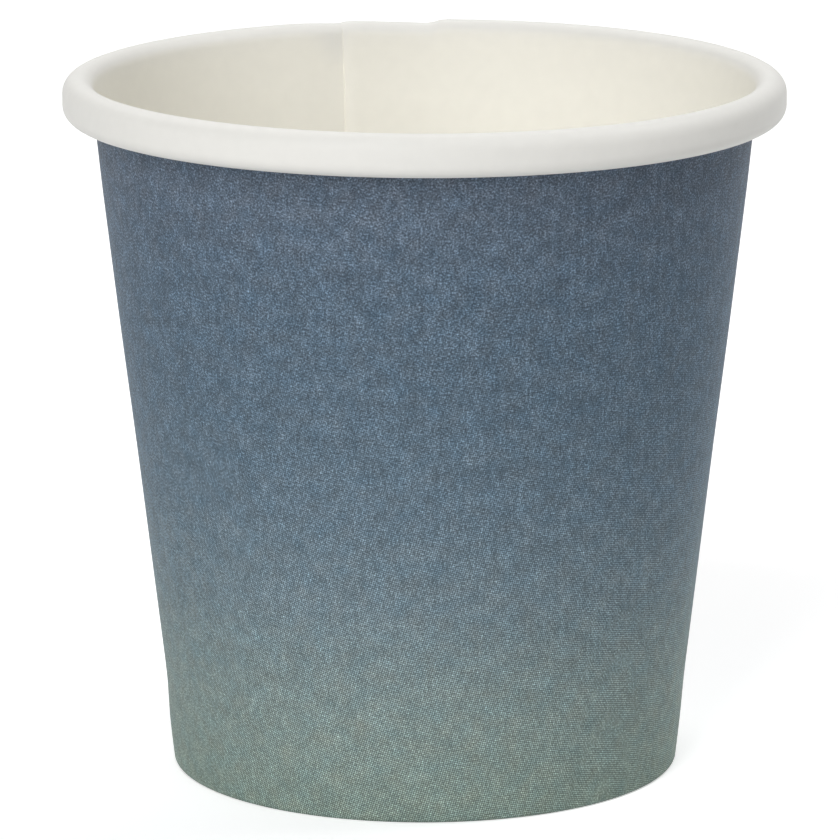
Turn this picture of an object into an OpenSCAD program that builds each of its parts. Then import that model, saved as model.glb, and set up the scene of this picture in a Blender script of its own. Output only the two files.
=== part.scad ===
// Single-wall paper cup: one fan-shaped board blank, wrapped, lapped and glued at the back,
// with its top edge rolled outwards and its bottom edge turned in round the skirt of a drawn base disc.
// The axis is Z, the floor is Z = 0, and the lap is on the +Y side.

/* [Cup] */
// Overall height, from the floor to the top of the rolled rim
cup_h = 60.3; // [45:0.1:110]
// Outer diameter over the rolled rim
rim_d = 62; // [58:0.5:90]
// Outer diameter of the wall, carried down to the floor
foot_d = 43.4; // [36:0.2:50]

/* [Board] */
// Thickness of the coated board that the wall is made of
board_t = 0.3; // [0.2:0.05:0.45]
// Thickness of the board that the base disc is drawn from
disc_t = 0.3; // [0.2:0.05:0.6]
// Gap left at each sealed face between the wall and the base disc
seal_gap = 0.02; // [0.01:0.01:0.1]

/* [Rolled rim] */
// Width of the roll, from the cup's inside to its outer edge
curl_w = 2.75; // [2.3:0.05:3.2]
// Height of the roll
curl_h = 3.6; // [3.1:0.05:5]
// Gap between the wall and the roll where the edge tucks in behind it
curl_gap = 0.1; // [0.05:0.01:0.2]
// How far the tucked edge turns inside the roll, in degrees
tuck_turn = 140; // [60:5:170]

/* [Turned-in foot] */
// Height of the inner leg of the foot, above the floor
hem_h = 4.4; // [3:0.1:4.9]
// Outside radius of the two bends of the foot
fold_r = 0.42; // [0.4:0.01:0.5]

/* [Base disc] */
// Height of the underside of the disc above the floor
recess_h = 5.6; // [5.2:0.1:12]
// Outside radius of the bend between the disc and its skirt
disc_bend_r = 0.8; // [0.7:0.05:1.5]
// Height of the skirt's lower edge above the floor
skirt_z = 0.45; // [0.4:0.05:2]

/* [Lapped seam] */
// Width of the lap, measured round the mouth
lap_w = 8.2; // [5:0.1:14]
// Direction of the edge that shows inside the cup, in degrees from +X
seam_dir = 104.9; // [0:0.1:180]
// Width of the line that the edge leaves inside the cup
edge_w = 0.2; // [0.1:0.05:0.4]
// Depth of that line
edge_depth = 0.12; // [0.05:0.01:0.15]

/* [Hidden] */
$fn = 180;

rim_r = rim_d / 2;
foot_r = foot_d / 2;

// The wall's inner face is tangent to the roll's upper arc, and that sets the wall's slant.
curl_r = curl_w / 2;
curl_c = [rim_r - curl_r, cup_h - curl_r];
rise = curl_c - [foot_r, 0];
slant = acos((curl_r - board_t) / norm(rise)) - atan2(rise[1], rise[0]);

// The roll's lower arc touches the rim's outer diameter, and passes clear of the wall's outer face.
low_r = ((rim_r - foot_r) * cos(slant) - (cup_h - curl_h) * sin(slant) - curl_gap)
    / (1 + cos(slant) + sin(slant));
low_c = [rim_r - low_r, cup_h - curl_h + low_r];

// Layers of the foot from its outer face inwards: wall, gap, skirt, gap and inner leg.
skirt_out = board_t + seal_gap;
skirt_in = skirt_out + disc_t;
leg_out = skirt_in + seal_gap;
foot_t = leg_out + board_t;

tuck_r = curl_r - board_t - curl_gap;
mouth_r = rim_r - curl_w;
lap_turn = lap_w / mouth_r * 180 / PI;
edge_turn = edge_w / mouth_r * 180 / PI;
ramp_turn = acos((mouth_r + board_t) / (mouth_r + 2 * board_t));

arc_step = 9;          // degrees between the points of an arc
cover = 0.05;          // how far the second layer reaches into the first, to fuse with it
ramp_step = 0.01;      // how far the ramp starts below the second layer's face
ramp_sink = 0.02;      // how far the ramp's plane dips below the wall, so that it meets it at an angle
beyond = 1;            // how far a cutting shape passes what it cuts

// A point given along the wall from the foot, and inwards from the wall's outer face.
function on_wall(along, inwards) = [
    foot_r + along * sin(slant) - inwards * cos(slant),
    along * cos(slant) + inwards * sin(slant)
];

// How far along the wall a height is, at a given depth inwards.
function along_at(z, inwards) = (z - inwards * sin(slant)) / cos(slant);

// How far along the wall the foot of a perpendicular from a point is.
function along_of(p) = (p[0] - foot_r) * sin(slant) + p[1] * cos(slant);

// A point given by its height, and inwards from the wall's outer face.
function at_height(z, inwards) = on_wall(along_at(z, inwards), inwards);

// Points of an arc, from one direction to another.
function arc(centre, r, from, to) =
    let (n = ceil(abs(to - from) / arc_step))
    [for (i = [0 : n]) let (a = from + (to - from) * i / n) centre + r * [cos(a), sin(a)]];

function reversed(points) = [for (i = [len(points) - 1 : -1 : 0]) points[i]];

// The turn under the foot, at a depth below the printed face. A layer laid over the first stands further out.
function foot_turn(depth, layer) = concat(
    arc(at_height(fold_r, foot_t - fold_r + layer), fold_r - depth, 180 - slant, 270),
    arc(at_height(fold_r, fold_r - layer), fold_r - depth, 270, 360 - slant)
);

// The blank from its edge inside the foot to its edge inside the roll, at a depth below the printed face.
function blank_path(depth) = concat(
    [on_wall(along_at(hem_h, foot_t), foot_t - depth)],
    foot_turn(depth, 0),
    arc(curl_c, curl_r - board_t + depth, 180 - slant, 90),
    arc(curl_c, curl_r - board_t + depth, 90 - arc_step, 0),
    arc(low_c, low_r - board_t + depth, 0, -180 - slant),
    arc(curl_c, tuck_r - board_t + depth, 180 - slant, 180 - slant - tuck_turn)
);

// The second layer at the lap, from a little below the first one's edge to a place inside the roll.
function lap_path(depth) = concat(
    [on_wall(along_at(hem_h, foot_t) - 2 * cover, foot_t + board_t - depth)],
    foot_turn(depth, board_t),
    [on_wall(along_of((curl_c + low_c) / 2), depth - board_t)]
);

// The second layer, ending in the square edge that shows outside the cup.
module lap_layer()
    rotate([0, 0, seam_dir - lap_turn])
        rotate_extrude(angle = lap_turn)
            polygon(concat(lap_path(0), reversed(lap_path(board_t + cover))));

// Past the inner layer's edge the outer layer runs down straight, as a flat that meets the round wall.
module lap_ramp() {
    top = along_of(low_c) + cover;
    bottom = along_at(fold_r, 0);
    outside = ramp_step - board_t;
    intersection() {
        rotate([0, 0, seam_dir - lap_turn / 2])
            rotate_extrude(angle = lap_turn / 2 + ramp_turn)
                polygon([
                    on_wall(bottom, outside), on_wall(top, outside),
                    on_wall(top, cover), on_wall(bottom, cover)
                ]);
        rotate([0, 0, seam_dir + ramp_turn])
            translate([foot_r - ramp_sink, 0, 0])
                rotate([0, slant, 0])
                    translate([-rim_r, -rim_r, -beyond])
                        cube([rim_r, rim_d, cup_h + 2 * beyond]);
    }
}

// The line that the inner layer's edge leaves, from above the base disc up the wall and over the roll.
module edge_line() {
    bottom = along_at(recess_h + beyond, 0);
    end_z = (curl_c[1] + low_c[1]) / 2;
    rotate([0, 0, seam_dir])
        rotate_extrude(angle = edge_turn)
            polygon(concat(
                [on_wall(bottom, board_t + beyond), on_wall(bottom, board_t - edge_depth)],
                arc(curl_c, curl_r - edge_depth, 180 - slant, 0),
                [
                    [rim_r - edge_depth, end_z], [rim_r + beyond, end_z],
                    [rim_r + beyond, cup_h + beyond], [mouth_r - beyond, cup_h + beyond]
                ]
            ));
}

// The wrapped blank, with its seam, rolled rim and turned-in foot.
module side_wall()
    color("#5d7285")
        difference() {
            union() {
                rotate_extrude()
                    polygon(concat(blank_path(0), reversed(blank_path(board_t))));
                lap_layer();
                lap_ramp();
            }
            edge_line();
        }

// The drawn base disc, sealed inside the foot: flat floor, bend and skirt.
module base_disc() {
    disc_top = recess_h + disc_t;
    bend_c = at_height(disc_top - disc_bend_r, skirt_out + disc_bend_r);
    skirt_end = along_at(skirt_z, skirt_out);
    color("#e8e6e0")
        rotate_extrude()
            polygon(concat(
                [[0, disc_top]],
                arc(bend_c, disc_bend_r, 90, -slant),
                [on_wall(skirt_end, skirt_out), on_wall(skirt_end, skirt_in)],
                arc(bend_c, disc_bend_r - disc_t, -slant, 90),
                [[0, recess_h]]
            ));
}

side_wall();
base_disc();
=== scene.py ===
import math
import bmesh
import bpy
from mathutils import Matrix, Vector


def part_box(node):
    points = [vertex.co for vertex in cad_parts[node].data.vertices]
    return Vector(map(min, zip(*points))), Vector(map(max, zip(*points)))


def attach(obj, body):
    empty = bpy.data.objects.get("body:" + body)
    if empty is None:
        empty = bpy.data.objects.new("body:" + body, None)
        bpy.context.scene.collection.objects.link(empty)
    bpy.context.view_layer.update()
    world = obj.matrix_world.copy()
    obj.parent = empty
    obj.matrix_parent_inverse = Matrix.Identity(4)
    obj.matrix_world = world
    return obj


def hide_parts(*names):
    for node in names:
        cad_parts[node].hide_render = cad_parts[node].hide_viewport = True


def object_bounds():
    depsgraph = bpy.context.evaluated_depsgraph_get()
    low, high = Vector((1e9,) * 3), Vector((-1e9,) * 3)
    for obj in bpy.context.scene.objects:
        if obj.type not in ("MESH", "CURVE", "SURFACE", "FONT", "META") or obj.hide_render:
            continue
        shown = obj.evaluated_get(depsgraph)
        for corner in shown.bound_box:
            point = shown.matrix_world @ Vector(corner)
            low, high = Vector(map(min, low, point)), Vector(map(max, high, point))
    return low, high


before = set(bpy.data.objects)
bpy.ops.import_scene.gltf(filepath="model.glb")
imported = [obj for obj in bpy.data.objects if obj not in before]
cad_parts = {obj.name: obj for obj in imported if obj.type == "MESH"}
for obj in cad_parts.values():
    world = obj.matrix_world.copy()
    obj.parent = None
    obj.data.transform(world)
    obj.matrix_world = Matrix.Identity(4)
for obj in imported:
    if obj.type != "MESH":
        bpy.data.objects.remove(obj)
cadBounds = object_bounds()
mm = 0.001

# The cup stands on z = 0 with its axis on z. The front is -y and the lapped seam is at the back, +y.
rimRadius = cadBounds[1][0]
cupHeight = cadBounds[1][2]
discLow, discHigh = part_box("base_disc")


def srgb(red, green, blue):
    # a colour as read off a screen, 0 to 255, as the linear values that a shader takes
    def linear(c):
        c = c / 255
        return c / 12.92 if c <= 0.04045 else ((c + 0.055) / 1.055) ** 2.4
    return (linear(red), linear(green), linear(blue), 1)


def addNode(tree, kind, inputs=None, **settings):
    node = tree.nodes.new(kind)
    for name, value in settings.items():
        setattr(node, name, value)
    for name, value in (inputs or {}).items():
        if isinstance(value, bpy.types.NodeSocket):
            tree.links.new(value, node.inputs[name])
        else:
            node.inputs[name].default_value = value
    return node


def calc(tree, operation, a, b=0.0, c=0.0):
    return addNode(tree, "ShaderNodeMath", {0: a, 1: b, 2: c}, operation=operation).outputs[0]


def ramp(tree, value, fromMin, fromMax, toMin=0.0, toMax=1.0, soft=False):
    inputs = {"Value": value, "From Min": fromMin, "From Max": fromMax, "To Min": toMin, "To Max": toMax}
    kind = "SMOOTHSTEP" if soft else "LINEAR"
    return addNode(tree, "ShaderNodeMapRange", inputs, interpolation_type=kind).outputs["Result"]


def newTree(name, kind, inputs, outputs):
    # inputs and outputs are lists of (name, socket type, value)
    tree = bpy.data.node_groups.new(name, kind)
    for side, sockets in (("INPUT", inputs), ("OUTPUT", outputs)):
        for label, socketType, value in sockets:
            socket = tree.interface.new_socket(label, in_out=side, socket_type=socketType)
            if value is not None:
                socket.default_value = value
    return tree, tree.nodes.new("NodeGroupInput").outputs, tree.nodes.new("NodeGroupOutput").inputs


def runTree(name, tree, values):
    # gives the plain mesh that a Geometry Nodes tree makes with these values
    holder = bpy.data.objects.new(name + "Holder", bpy.data.meshes.new(name + "Holder"))
    bpy.context.scene.collection.objects.link(holder)
    modifier = holder.modifiers.new(name, "NODES")
    modifier.node_group = tree
    for socket in tree.interface.items_tree:
        if socket.in_out == "INPUT" and socket.name in values:
            modifier[socket.identifier] = values[socket.name]
    evaluated = holder.evaluated_get(bpy.context.evaluated_depsgraph_get())
    mesh = bpy.data.meshes.new_from_object(evaluated)
    mesh.name = name
    bpy.data.objects.remove(holder)
    piece = bpy.data.objects.new(name, mesh)
    bpy.context.scene.collection.objects.link(piece)
    return piece


# materials
print("materials")

paint = {
    # the print's tones by their share of the cup's height, from the floor up
    "tones": [
        (0.0, srgb(136, 153, 144)), (0.14, srgb(134, 150, 147)), (0.315, srgb(118, 135, 143)),
        (0.45, srgb(106, 124, 137)), (0.6, srgb(98, 116, 131)), (0.76, srgb(95, 112, 128)),
        (0.95, srgb(98, 110, 125)),
    ],
    "grain": 3.6, "grainSize": 0.17 * mm, "flecks": 1.05, "fleckSize": 0.55 * mm, "fleckLength": 2.2,
    "cloud": 0.6, "cloudSize": 2.4 * mm, "tint": 0.24, "tintSize": 1.6 * mm, "tintBlue": 0.6,
    "calmBelow": 0.62, "calmStart": 0.1, "calmEnd": 0.7,
    "dots": 0.86, "dotsAtTop": 0.12, "dotPitch": 0.18 * mm, "dotTilt": 16.5,
    "dotsStart": 0.2, "dotsEnd": 0.8,
    "evenOut": -0.1, "darkest": 0.5, "darkBlend": 0.3,
    "roughness": 0.6, "sheen": 0.12,
}
coated = {
    # the greyer colour for the roll is painted shade, standing in for less light on the roll than inside the
    # cup
    "colour": (0.955, 0.935, 0.862), "rollPaintedShade": (0.862, 0.852, 0.812),
    "rollStart": 56.4 * mm, "rollStartBlend": 0.4 * mm, "rollInside": 28.1 * mm, "rollInsideBlend": 0.5 * mm,
    "mottle": 0.04, "mottleSize": 1.2 * mm, "roughness": 0.45, "sheen": 0.2,
}
rawEdge = {"colour": (0.80, 0.77, 0.69), "roughness": 0.85, "fibre": 0.4, "fibreSize": 0.08 * mm}


def grainGroup():
    # uneven board and ink: a value round 0, at one size
    tree, given, result = newTree("paperGrain", "ShaderNodeTree", [
        ("Vector", "NodeSocketVector", None), ("Size", "NodeSocketFloat", 0.001)],
        [("Grain", "NodeSocketFloat", None)])
    scale = calc(tree, "DIVIDE", 1.0, given["Size"])
    noise = addNode(tree, "ShaderNodeTexNoise", {"Vector": given["Vector"], "Scale": scale, "Detail": 1.5})
    tree.links.new(calc(tree, "SUBTRACT", noise.outputs[0], 0.5), result["Grain"])
    return tree


def screenGroup():
    # a halftone screen: rows of soft dots, from -1 to 1
    tree, given, result = newTree("halftoneScreen", "ShaderNodeTree", [
        ("Vector", "NodeSocketVector", None), ("Pitch", "NodeSocketFloat", 0.00026),
        ("Tilt", "NodeSocketFloat", 0.0)],
        [("Dots", "NodeSocketFloat", None)])
    turn = addNode(tree, "ShaderNodeVectorRotate", {"Vector": given["Vector"], "Angle": given["Tilt"]},
                   rotation_type="Z_AXIS")
    parts = addNode(tree, "ShaderNodeSeparateXYZ", {"Vector": turn.outputs[0]})
    wave = calc(tree, "DIVIDE", 2 * math.pi, given["Pitch"])
    across = calc(tree, "SINE", calc(tree, "MULTIPLY", parts.outputs["X"], wave))
    down = calc(tree, "SINE", calc(tree, "MULTIPLY", parts.outputs["Y"], wave))
    tree.links.new(calc(tree, "MULTIPLY", calc(tree, "ADD", across, down), 0.5), result["Dots"])
    return tree


grainTree = grainGroup()
screenTree = screenGroup()


def newMaterial(name):
    material = bpy.data.materials.new(name)
    material.use_nodes = True
    tree = material.node_tree
    return material, tree, tree.nodes["Principled BSDF"]


def grainAt(tree, place, size):
    return addNode(tree, "ShaderNodeGroup", {"Vector": place, "Size": size}, node_tree=grainTree).outputs[0]


def shaded(tree, shader, colour, light):
    scaled = addNode(tree, "ShaderNodeVectorMath", {0: colour, "Scale": light}, operation="SCALE")
    tree.links.new(scaled.outputs["Vector"], shader.inputs["Base Color"])


def printedBoard():
    material, tree, shader = newMaterial("printedBoard")
    shader.inputs["Roughness"].default_value = paint["roughness"]
    shader.inputs["Specular IOR Level"].default_value = paint["sheen"]
    place = addNode(tree, "ShaderNodeTexCoord").outputs["Object"]
    layout = addNode(tree, "ShaderNodeUVMap", uv_map="blankLayout").outputs["UV"]
    height = addNode(tree, "ShaderNodeSeparateXYZ", {"Vector": place}).outputs["Z"]
    share = ramp(tree, height, 0.0, cupHeight)
    colours = addNode(tree, "ShaderNodeValToRGB", {"Fac": share})
    elements = colours.color_ramp.elements
    while len(elements) < len(paint["tones"]):
        elements.new(0.5)
    for element, (position, tone) in zip(elements, paint["tones"]):
        element.position = position
        element.color = tone
    squeeze = (1, 1 / paint["fleckLength"], 1)
    upright = addNode(tree, "ShaderNodeMapping", {"Vector": layout, "Scale": squeeze})
    grain = grainAt(tree, layout, paint["grainSize"])
    flecks = grainAt(tree, upright.outputs["Vector"], paint["fleckSize"])
    calm = ramp(tree, share, paint["calmStart"], paint["calmEnd"], paint["calmBelow"], 1.0)
    uneven = calc(tree, "MULTIPLY", grain, paint["grain"])
    uneven = calc(tree, "MULTIPLY_ADD", flecks, paint["flecks"], uneven)
    uneven = calc(tree, "MULTIPLY_ADD", grainAt(tree, layout, paint["cloudSize"]), paint["cloud"], uneven)
    uneven = calc(tree, "MULTIPLY", uneven, calm)
    screen = {"Vector": layout, "Pitch": paint["dotPitch"], "Tilt": math.radians(paint["dotTilt"])}
    dots = addNode(tree, "ShaderNodeGroup", screen, node_tree=screenTree).outputs[0]
    contrast = ramp(tree, share, paint["dotsStart"], paint["dotsEnd"], paint["dots"], paint["dotsAtTop"])
    uneven = calc(tree, "MULTIPLY_ADD", dots, contrast, uneven)

    # the pale board shows through the ink in flecks, and the ink itself has a darkest tone
    light = calc(tree, "EXPONENT", calc(tree, "ADD", uneven, paint["evenOut"]))
    light = calc(tree, "SMOOTH_MAX", light, paint["darkest"], paint["darkBlend"])
    tint = calc(tree, "MULTIPLY", grainAt(tree, layout, paint["tintSize"]), paint["tint"])
    shift = addNode(tree, "ShaderNodeCombineXYZ", {
        "X": calc(tree, "SUBTRACT", 1.0, tint), "Y": 1.0,
        "Z": calc(tree, "MULTIPLY_ADD", tint, paint["tintBlue"], 1.0)})
    tinted = addNode(tree, "ShaderNodeVectorMath", {0: colours.outputs["Color"], 1: shift.outputs[0]},
                     operation="MULTIPLY")
    shaded(tree, shader, tinted.outputs["Vector"], light)
    return material


def whiteBoard():
    material, tree, shader = newMaterial("whiteBoard")
    shader.inputs["Roughness"].default_value = coated["roughness"]
    shader.inputs["Specular IOR Level"].default_value = coated["sheen"]
    place = addNode(tree, "ShaderNodeTexCoord").outputs["Object"]
    light = calc(tree, "MULTIPLY_ADD", grainAt(tree, place, coated["mottleSize"]), coated["mottle"], 1.0)

    # painted shade: the roll takes a slightly greyer colour that stands in for less light on the roll than
    # inside the cup, a guess that is fitted to the look of the rim
    height = addNode(tree, "ShaderNodeSeparateXYZ", {"Vector": place}).outputs["Z"]
    flat = addNode(tree, "ShaderNodeVectorMath", {0: place, 1: (1, 1, 0)}, operation="MULTIPLY")
    reach = addNode(tree, "ShaderNodeVectorMath", {0: flat.outputs["Vector"]}, operation="LENGTH")
    rollStart = coated["rollStart"]
    rollInside = coated["rollInside"]
    above = ramp(tree, height, rollStart, rollStart + coated["rollStartBlend"])
    beyond = ramp(tree, reach.outputs["Value"], rollInside, rollInside + coated["rollInsideBlend"], soft=True)
    paintedShadeOnRoll = calc(tree, "MULTIPLY", above, beyond)
    colours = addNode(tree, "ShaderNodeMix", {"Factor": paintedShadeOnRoll}, data_type="RGBA")

    # a Mix node's colours are its seventh and eighth inputs and its third output
    for index, name in ((6, "colour"), (7, "rollPaintedShade")):
        colours.inputs[index].default_value = (*coated[name], 1)
    shaded(tree, shader, colours.outputs[2], light)
    return material


def cutEdge():
    material, tree, shader = newMaterial("cutEdge")
    shader.inputs["Roughness"].default_value = rawEdge["roughness"]
    place = addNode(tree, "ShaderNodeTexCoord").outputs["Object"]
    light = calc(tree, "MULTIPLY_ADD", grainAt(tree, place, rawEdge["fibreSize"]), rawEdge["fibre"], 1.0)
    shaded(tree, shader, rawEdge["colour"], light)
    return material


printedMaterial = printedBoard()
whiteMaterial = whiteBoard()
edgeMaterial = cutEdge()

# the section of the wrapped blank
print("section of the blank")

blank = {
    # the board and its section
    "board": 0.3 * mm, "footRadius": 21.7 * mm,
    "curlWidth": 2.75 * mm, "curlHeight": 3.6 * mm, "curlGap": 0.1 * mm, "tuckTurn": 140.0,
    "hemHeight": 4.4 * mm, "foldRadius": 0.42 * mm, "sealGap": 0.02 * mm,
    # the lap at the back, with turns in degrees from the inner edge
    "seamDirection": 104.9, "lapWidth": 8.2 * mm, "rampTurn": 8.3, "layerStep": 1.03,
    "edgePress": 0.6, "pressTurn": 1.8,
    # the mesh
    "stepsRound": 300, "wallSteps": 34, "hemSteps": 4, "arcStep": 11.0, "hardCorner": 0.8,
    # the roll's unevenness, and how far down the wall it fades out
    "lapLift": 0.03 * mm, "lapDip": -0.34 * mm, "dipTurn": 15.3, "dipEnd": 18.4, "edgeLift": 0.14 * mm,
    "rise": 0.04 * mm, "tilt": 0.025 * mm, "twist": 0.04 * mm, "rollFade": 14 * mm,
    # the flare over the layers of the foot, more of it on one side
    "flare": 0.2 * mm, "lean": 0.07 * mm, "flareTop": 8.5 * mm, "flareBottom": 2.5 * mm,
    "footLiftTop": 8 * mm, "footLiftBottom": 1 * mm,
    # the swell of the wall below the rim
    "swell": 0.07 * mm, "swellStart": 26 * mm, "swellFull": 40 * mm, "swellEnd": 50 * mm,
}

board = blank["board"]
footRadius = blank["footRadius"]
foldRadius = blank["foldRadius"]
curlRadius = blank["curlWidth"] / 2
curlCentre = Vector((rimRadius - curlRadius, cupHeight - curlRadius))
rise = curlCentre - Vector((footRadius, 0))
slant = math.acos((curlRadius - board) / rise.length) - math.atan2(rise.y, rise.x)   # from upright
rollBottom = cupHeight - blank["curlHeight"]
lowRadius = ((rimRadius - footRadius) * math.cos(slant) - rollBottom * math.sin(slant) - blank["curlGap"])
lowRadius /= 1 + math.cos(slant) + math.sin(slant)
lowCentre = Vector((rimRadius - lowRadius, rollBottom + lowRadius))
footThickness = 3 * board + 2 * blank["sealGap"]


def onWall(height, inwards):
    # a point at a height, this far inwards from the wall's outer face
    along = (height - inwards * math.sin(slant)) / math.cos(slant)
    return Vector((footRadius + along * math.sin(slant) - inwards * math.cos(slant), height))


def arc(centre, radius, start, end):
    steps = max(2, math.ceil(abs(end - start) / blank["arcStep"]))
    turns = [math.radians(start + (end - start) * i / steps) for i in range(steps + 1)]
    return [centre + radius * Vector((math.cos(a), math.sin(a))) for a in turns]


def straight(start, end, steps):
    return [start.lerp(end, i / steps) for i in range(1, steps)]


def blankPath(depth):
    # the board's section from its edge inside the foot to its edge inside the roll, this deep below the print
    tilt = math.degrees(slant)
    hemEnd = onWall(blank["hemHeight"], footThickness)
    hemEnd += depth * Vector((math.cos(slant), -math.sin(slant)))
    innerBend = arc(onWall(foldRadius, footThickness - foldRadius), foldRadius - depth, 180 - tilt, 270)
    outerBend = arc(onWall(foldRadius, foldRadius), foldRadius - depth, 270, 360 - tilt)
    overTop = arc(curlCentre, curlRadius - board + depth, 180 - tilt, 0)
    under = arc(lowCentre, lowRadius - board + depth, 0, -180 - tilt)
    tuckRadius = curlRadius - 2 * board - blank["curlGap"] + depth
    tuck = arc(curlCentre, tuckRadius, 180 - tilt, 180 - tilt - blank["tuckTurn"])
    path = [hemEnd] + straight(hemEnd, innerBend[0], blank["hemSteps"]) + innerBend + outerBend
    path += straight(outerBend[-1], overTop[0], blank["wallSteps"]) + overTop
    return path + under + tuck


def smooth(value):
    value = min(1.0, max(0.0, value))
    return value * value * (3 - 2 * value)


def flareAt(height):
    return smooth((blank["flareTop"] - height) / (blank["flareTop"] - blank["flareBottom"]))


def swellAt(height):
    rises = smooth((height - blank["swellStart"]) / (blank["swellFull"] - blank["swellStart"]))
    falls = smooth((rollBottom - height) / (rollBottom - blank["swellEnd"]))
    return blank["swell"] * rises * falls


def sectionGuide():
    # a line of points down the white face, each with the step across to the print and its share of each lift
    printed = blankPath(0.0)
    white = blankPath(board)
    footLiftHeight = blank["footLiftTop"] - blank["footLiftBottom"]
    mesh = bpy.data.meshes.new("sectionGuide")
    mesh.from_pydata([(p.x, 0, p.y) for p in white], [(i, i + 1) for i in range(len(white) - 1)], [])
    across = []
    shares = {name: [] for name in ("along", "rollShare", "footShare", "flareShare", "wallSwell")}
    length = 0.0
    wallStart = None
    for i, (inner, outer) in enumerate(zip(white, printed)):
        if i:
            length += (outer - printed[i - 1]).length
        if wallStart is None and outer.y >= foldRadius and outer.x > footRadius:
            wallStart = length
        step = outer - inner
        across += [step.x, 0, step.y]
        onOutside = outer.y < rollBottom and outer.x > footRadius
        shares["along"].append(length)
        shares["rollShare"].append(smooth((inner.y - rollBottom + blank["rollFade"]) / blank["rollFade"]))
        shares["footShare"].append(1 - smooth((inner.y - blank["footLiftBottom"]) / footLiftHeight))
        shares["flareShare"].append(flareAt(inner.y))
        shares["wallSwell"].append(swellAt(outer.y) if onOutside else 0.0)
    mesh.attributes.new("across", "FLOAT_VECTOR", "POINT").data.foreach_set("vector", across)
    for name, numbers in shares.items():
        mesh.attributes.new(name, "FLOAT", "POINT").data.foreach_set("value", numbers)
    guide = bpy.data.objects.new("sectionGuide", mesh)
    bpy.context.scene.collection.objects.link(guide)
    return guide, wallStart


# the wrapped blank
print("wrapped blank")


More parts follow.
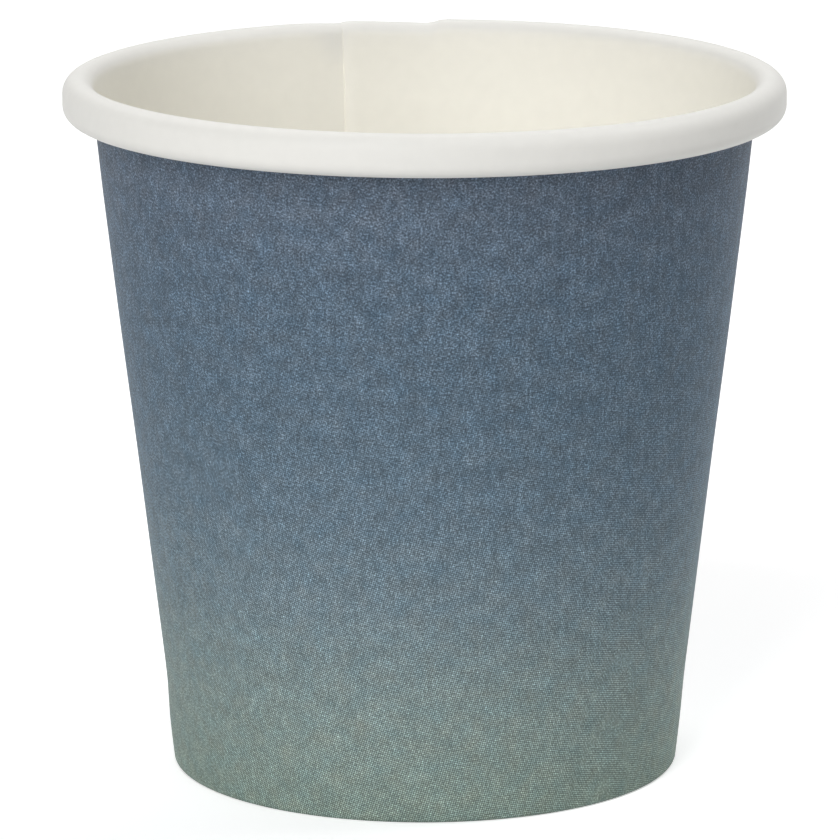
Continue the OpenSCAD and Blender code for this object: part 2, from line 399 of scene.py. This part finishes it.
def wrapTree():
    number = "NodeSocketFloat"
    tree, given, result = newTree("wrapBlank", "GeometryNodeTree", [
        ("Section", "NodeSocketObject", None), ("Steps round", "NodeSocketInt", 300),
        ("Seam direction", number, 0.0), ("Lap turn", number, 16.0), ("Ramp turn", number, 8.0),
        ("Layer step", number, 1.0), ("Board", number, board), ("Lap lift", number, 0.0),
        ("Lap dip", number, 0.0), ("Dip turn", number, 15.0), ("Dip end", number, 18.0),
        ("Edge lift", number, 0.0),
        ("Rise", number, 0.0), ("Tilt", number, 0.0), ("Twist", number, 0.0),
        ("Flare", number, 0.0), ("Lean", number, 0.0),
        ("Edge press", number, 0.0), ("Press turn", number, 1.0), ("Hard corner", number, 0.8),
        ("Cone reach", number, 0.1), ("Cone share", number, 0.1), ("Wall start", number, 0.0),
        ("Print", "NodeSocketMaterial", None), ("White", "NodeSocketMaterial", None),
        ("Edge", "NodeSocketMaterial", None)],
        [("Geometry", "NodeSocketGeometry", None)])
    section = addNode(tree, "GeometryNodeObjectInfo", {"Object": given["Section"]}).outputs["Geometry"]
    count = addNode(tree, "GeometryNodeAttributeDomainSize", {"Geometry": section}).outputs["Point Count"]
    box = addNode(tree, "GeometryNodeMeshCube", {
        "Size": (1, 1, 1), "Vertices X": given["Steps round"],
        "Vertices Y": count, "Vertices Z": 2}).outputs["Mesh"]

    # the side that each face of the box is on: 1 for the print, -1 for the white side and 0 for the cut edges
    normal = addNode(tree, "GeometryNodeInputNormal").outputs[0]
    side = addNode(tree, "ShaderNodeSeparateXYZ", {"Vector": normal}).outputs["Z"]
    inputs = {"Geometry": box, "Name": "side", "Value": side}
    stored = addNode(tree, "GeometryNodeStoreNamedAttribute", inputs, data_type="FLOAT", domain="FACE")
    box = stored.outputs[0]
    corner = addNode(tree, "GeometryNodeInputMeshEdgeAngle").outputs["Unsigned Angle"]
    isHard = calc(tree, "GREATER_THAN", corner, given["Hard corner"])
    box = addNode(tree, "GeometryNodeSetShadeSmooth", {"Geometry": box, "Shade Smooth": True}).outputs[0]
    inputs = {"Geometry": box, "Selection": isHard, "Shade Smooth": False}
    box = addNode(tree, "GeometryNodeSetShadeSmooth", inputs, domain="EDGE").outputs[0]

    # where a point is round the blank, along its section and through its thickness
    point = addNode(tree, "ShaderNodeSeparateXYZ", {
        "Vector": addNode(tree, "GeometryNodeInputPosition").outputs[0]}).outputs
    last = calc(tree, "SUBTRACT", count, 1.0)
    index = calc(tree, "ROUND", calc(tree, "MULTIPLY", calc(tree, "ADD", point["Y"], 0.5), last))
    through = calc(tree, "ADD", point["Z"], 0.5)
    whole = calc(tree, "ADD", given["Lap turn"], 360.0)
    turned = calc(tree, "MULTIPLY", calc(tree, "ADD", point["X"], 0.5), whole)

    def sample(field, kind):
        inputs = {"Geometry": section, "Value": field, "Index": index}
        return addNode(tree, "GeometryNodeSampleIndex", inputs, data_type=kind).outputs[0]

    def named(name, kind):
        node = addNode(tree, "GeometryNodeInputNamedAttribute", {"Name": name}, data_type=kind)
        return sample(node.outputs["Attribute"], kind)

    place = sample(addNode(tree, "GeometryNodeInputPosition").outputs[0], "FLOAT_VECTOR")
    across = named("across", "FLOAT_VECTOR")
    along = named("along", "FLOAT")
    rollShare = named("rollShare", "FLOAT")
    footShare = named("footShare", "FLOAT")
    flareShare = named("flareShare", "FLOAT")
    wallSwell = named("wallSwell", "FLOAT")
    frontTurn = calc(tree, "ADD", given["Seam direction"], 90.0)
    front = calc(tree, "RADIANS", calc(tree, "SUBTRACT", frontTurn, turned))

    # past a full turn the blank lies one board further out, and it gets there down a soft ramp
    rampStart = calc(tree, "SUBTRACT", 360.0, given["Ramp turn"])
    over = ramp(tree, turned, rampStart, 360.0, soft=True)
    pressed = ramp(tree, turned, 0.0, given["Press turn"], given["Edge press"], 0.0, soft=True)
    layer = calc(tree, "MULTIPLY_ADD", over, given["Layer step"], calc(tree, "MAXIMUM", through, pressed))
    layers = addNode(tree, "ShaderNodeCombineXYZ", {"X": layer, "Y": layer, "Z": layer}).outputs[0]
    spot = addNode(tree, "ShaderNodeVectorMath", {0: across, 1: layers, 2: place}, operation="MULTIPLY_ADD")
    spot = addNode(tree, "ShaderNodeSeparateXYZ", {"Vector": spot.outputs["Vector"]}).outputs

    # the roll dips along the lap, springs back past its end, and is a little uneven all round
    again = calc(tree, "MODULO", turned, 360.0)
    dip = ramp(tree, again, 0.0, given["Dip turn"], given["Lap lift"], given["Lap dip"])
    springBack = ramp(tree, again, given["Dip turn"], given["Dip end"], 1.0, 0.0, soft=True)
    dip = calc(tree, "MULTIPLY", dip, springBack)
    dip = calc(tree, "ADD", calc(tree, "MULTIPLY_ADD", over, given["Edge lift"], dip), given["Rise"])
    for size, turns in (("Tilt", -1.0), ("Twist", -2.0)):
        swing = calc(tree, "SINE", calc(tree, "MULTIPLY", front, turns))
        dip = calc(tree, "MULTIPLY_ADD", swing, given[size], dip)

    # two layers meet at the lap's foot, and both ride up by one board to stand on the floor
    lapEnd = calc(tree, "ADD", given["Lap turn"], given["Ramp turn"])
    under = ramp(tree, turned, given["Lap turn"], lapEnd, 1.0, 0.0, soft=True)
    footLift = calc(tree, "MULTIPLY", calc(tree, "MAXIMUM", under, over), given["Board"])
    height = calc(tree, "MULTIPLY_ADD", dip, rollShare, spot["Z"])
    height = calc(tree, "MULTIPLY_ADD", footLift, footShare, height)

    # the wall swells a little below the rim, and flares over the layers of the foot, more on one side
    lean = calc(tree, "MULTIPLY", calc(tree, "SINE", front), given["Lean"])
    radius = calc(tree, "ADD", spot["X"], wallSwell)
    radius = calc(tree, "MULTIPLY_ADD", calc(tree, "SUBTRACT", given["Flare"], lean), flareShare, radius)

    turn = calc(tree, "RADIANS", calc(tree, "SUBTRACT", given["Seam direction"], turned))
    final = addNode(tree, "ShaderNodeCombineXYZ", {
        "X": calc(tree, "MULTIPLY", radius, calc(tree, "COSINE", turn)),
        "Y": calc(tree, "MULTIPLY", radius, calc(tree, "SINE", turn)), "Z": height}).outputs[0]

    # the print is laid out on the flat blank, which is part of a ring
    reach = calc(tree, "ADD", calc(tree, "SUBTRACT", along, given["Wall start"]), given["Cone reach"])
    fan = calc(tree, "MULTIPLY", front, given["Cone share"])
    flat = addNode(tree, "ShaderNodeCombineXYZ", {
        "X": calc(tree, "MULTIPLY", reach, calc(tree, "SINE", fan)),
        "Y": calc(tree, "MULTIPLY", reach, calc(tree, "COSINE", fan))}).outputs[0]
    inputs = {"Geometry": box, "Name": "blankLayout", "Value": flat}
    stored = addNode(tree, "GeometryNodeStoreNamedAttribute", inputs, data_type="FLOAT2", domain="CORNER")
    box = stored.outputs[0]
    box = addNode(tree, "GeometryNodeSetPosition", {"Geometry": box, "Position": final}).outputs[0]
    box = addNode(tree, "GeometryNodeFlipFaces", {"Mesh": box}).outputs[0]
    box = addNode(tree, "GeometryNodeRealizeInstances", {"Geometry": box}).outputs[0]
    side = addNode(tree, "GeometryNodeInputNamedAttribute", {"Name": "side"}, data_type="FLOAT")
    side = side.outputs["Attribute"]
    box = addNode(tree, "GeometryNodeSetMaterial", {"Geometry": box, "Material": given["Edge"]}).outputs[0]
    chosen = {"Print": calc(tree, "GREATER_THAN", side, 0.5), "White": calc(tree, "LESS_THAN", side, -0.5)}
    for name, selection in chosen.items():
        inputs = {"Geometry": box, "Selection": selection, "Material": given[name]}
        box = addNode(tree, "GeometryNodeSetMaterial", inputs).outputs[0]
    tree.links.new(box, result["Geometry"])
    return tree


guide, wallStart = sectionGuide()
mouthRadius = rimRadius - blank["curlWidth"]
sideWall = runTree("sideWall", wrapTree(), {
    "Section": guide, "Steps round": blank["stepsRound"], "Seam direction": blank["seamDirection"],
    "Lap turn": math.degrees(blank["lapWidth"] / mouthRadius), "Ramp turn": blank["rampTurn"],
    "Layer step": blank["layerStep"], "Board": board,
    "Lap lift": blank["lapLift"], "Lap dip": blank["lapDip"], "Dip turn": blank["dipTurn"],
    "Dip end": blank["dipEnd"], "Edge lift": blank["edgeLift"],
    "Rise": blank["rise"], "Tilt": blank["tilt"], "Twist": blank["twist"],
    "Flare": blank["flare"], "Lean": blank["lean"],
    "Edge press": blank["edgePress"], "Press turn": blank["pressTurn"], "Hard corner": blank["hardCorner"],
    "Cone reach": footRadius / math.sin(slant), "Cone share": math.sin(slant), "Wall start": wallStart,
    "Print": printedMaterial, "White": whiteMaterial, "Edge": edgeMaterial})
bpy.data.objects.remove(guide)
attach(sideWall, "root")
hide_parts("side_wall")

# the base disc
print("base disc")

disc = {
    "bendRadius": 0.8 * mm, "sag": 0.25 * mm, "sagAbove": 3 * mm, "skirtEnd": 0.75 * mm,
    "segments": 180, "floorRings": 12,
}


def discOutline():
    # half of the disc's section, from the middle of its top out, down the skirt, and back along its underside
    skirtOut = board + blank["sealGap"]
    top = discHigh[2]
    bend = disc["bendRadius"]
    centre = onWall(top - bend, skirtOut + bend)
    tilt = math.degrees(slant)
    skirtOuter = onWall(disc["skirtEnd"], skirtOut)
    skirtInner = skirtOuter + board * Vector((-math.cos(slant), math.sin(slant)))
    floorTop = [Vector((centre.x * i / disc["floorRings"], top)) for i in range(disc["floorRings"])]
    floorLow = [Vector((p.x, top - board)) for p in reversed(floorTop)]
    outline = floorTop + arc(centre, bend, 90, -tilt) + [skirtOuter, skirtInner]
    return outline + arc(centre, bend - board, -tilt, 90) + floorLow, centre.x


def spinOutline(name, outline, segments):
    # turns an outline that starts and ends on the axis into a closed mesh
    mesh = bpy.data.meshes.new(name)
    work = bmesh.new()
    rings = []
    for p in outline:
        if p.x < 1e-9:
            rings.append([work.verts.new((0, 0, p.y))])
            continue
        turns = [2 * math.pi * k / segments for k in range(segments)]
        rings.append([work.verts.new((p.x * math.cos(a), p.x * math.sin(a), p.y)) for a in turns])
    for upper, lower in zip(rings, rings[1:]):
        for k in range(segments):
            n = (k + 1) % segments
            corners = [upper[k % len(upper)], lower[k % len(lower)]]
            corners += [lower[n % len(lower)], upper[n % len(upper)]]
            work.faces.new(list(dict.fromkeys(corners))).smooth = True
    bmesh.ops.recalc_face_normals(work, faces=work.faces)
    work.to_mesh(mesh)
    work.free()
    piece = bpy.data.objects.new(name, mesh)
    bpy.context.scene.collection.objects.link(piece)
    return piece


outline, flatRadius = discOutline()
for p in outline:
    if p.y > discLow[2] + disc["sagAbove"]:
        p.y -= disc["sag"] * (1 - smooth(p.x / flatRadius))
baseDisc = spinOutline("baseDisc", outline, disc["segments"])
for vertex in baseDisc.data.vertices:
    reach = vertex.co.xy.length
    if reach > 0:
        lean = blank["lean"] * vertex.co.x / reach
        outwards = (blank["flare"] - lean) * flareAt(vertex.co.z) * smooth(reach / flatRadius)
        vertex.co.xy *= 1 + outwards / reach
baseDisc.data.materials.append(whiteMaterial)
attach(baseDisc, "root")
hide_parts("base_disc")

# floor, light and camera
print("floor, light and camera")

studio = {
    "floorSize": 3.0, "floorColour": (0.85, 0.85, 0.85, 1), "floorRoughness": 0.9,
    "floorBoost": 0.48, "worldStrength": 0.02,
    "lamps": [
        # name, direction round from the front towards +X, elevation, distance, width, height, watts
        ("softbox", -25, 32, 1.6, 0.8, 1.4, 18.2),
        ("overhead", 8, 55, 1.6, 0.9, 0.9, 1.8),
        ("side", 110, 50, 1.6, 0.8, 0.8, 9.8),
        ("rear", -165, 50, 1.6, 1.4, 0.8, 7.0),
    ],
}
view = {
    "distance": 543.96 * mm, "elevation": 12.662, "lens": 269.03, "aim": 29.937 * mm,
    "yaw": -0.047, "roll": -0.114, "sensor": 36,
}


def seenWhite(tree):
    # 1 where the camera sees a surface straight, in a reflection or through something clear, and 0 elsewhere
    path = addNode(tree, "ShaderNodeLightPath").outputs
    seen = calc(tree, "MAXIMUM", path["Is Camera Ray"], path["Is Glossy Ray"])
    return calc(tree, "MAXIMUM", seen, path["Is Transmission Ray"])


def studioFloor():
    half = studio["floorSize"] / 2
    mesh = bpy.data.meshes.new("floor")
    corners = [(-half, -half, 0), (half, -half, 0), (half, half, 0), (-half, half, 0)]
    mesh.from_pydata(corners, [], [(0, 1, 2, 3)])
    floor = bpy.data.objects.new("floor", mesh)
    bpy.context.scene.collection.objects.link(floor)
    material, tree, shader = newMaterial("floorPaint")
    shader.inputs["Base Color"].default_value = studio["floorColour"]
    shader.inputs["Roughness"].default_value = studio["floorRoughness"]
    shader.inputs["Emission Color"].default_value = (1, 1, 1, 1)
    boost = calc(tree, "MULTIPLY", seenWhite(tree), studio["floorBoost"])
    tree.links.new(boost, shader.inputs["Emission Strength"])
    mesh.materials.append(material)


def studioWorld():
    world = bpy.data.worlds.new("studio")
    world.use_nodes = True
    bpy.context.scene.world = world
    tree = world.node_tree
    strength = ramp(tree, seenWhite(tree), 0.0, 1.0, studio["worldStrength"], 1.0)
    background = tree.nodes["Background"]
    background.inputs["Color"].default_value = (1, 1, 1, 1)
    tree.links.new(strength, background.inputs["Strength"])


def studioLamps():
    for name, turn, elevation, distance, width, height, watts in studio["lamps"]:
        lamp = bpy.data.lights.new(name, "AREA")
        lamp.shape = "RECTANGLE"
        lamp.size = width
        lamp.size_y = height
        lamp.energy = watts
        turn = math.radians(turn)
        lift = math.radians(elevation)
        away = Vector((math.cos(lift) * math.sin(turn), -math.cos(lift) * math.cos(turn), math.sin(lift)))
        holder = bpy.data.objects.new(name, lamp)
        holder.location = Vector((0, 0, view["aim"])) + distance * away
        holder.rotation_euler = (-away).to_track_quat("-Z", "Y").to_euler()
        bpy.context.scene.collection.objects.link(holder)


def camera():
    lift = math.radians(view["elevation"])
    forward = Vector((0, math.cos(lift), -math.sin(lift)))
    right = Vector((1, 0, 0))
    up = right.cross(forward)
    data = bpy.data.cameras.new("camera")
    data.lens = view["lens"]
    data.sensor_width = view["sensor"]
    cam = bpy.data.objects.new("camera", data)
    place = Vector((0, 0, view["aim"])) - forward * view["distance"]
    yaw = math.radians(view["yaw"])
    roll = math.radians(view["roll"])
    ahead = math.cos(yaw) * forward + math.sin(yaw) * right
    side = math.cos(yaw) * right - math.sin(yaw) * forward
    turnedSide = math.cos(roll) * side + math.sin(roll) * up
    turnedUp = math.cos(roll) * up - math.sin(roll) * side
    columns = [turnedSide, turnedUp, -ahead]
    matrix = Matrix([[c[i] for c in columns] for i in range(3)]).to_4x4()
    matrix.translation = place
    cam.matrix_world = matrix
    bpy.context.scene.collection.objects.link(cam)
    bpy.context.scene.camera = cam


studioFloor()
studioWorld()
studioLamps()
camera()
bpy.context.scene.view_settings.view_transform = "Standard"

print("done")
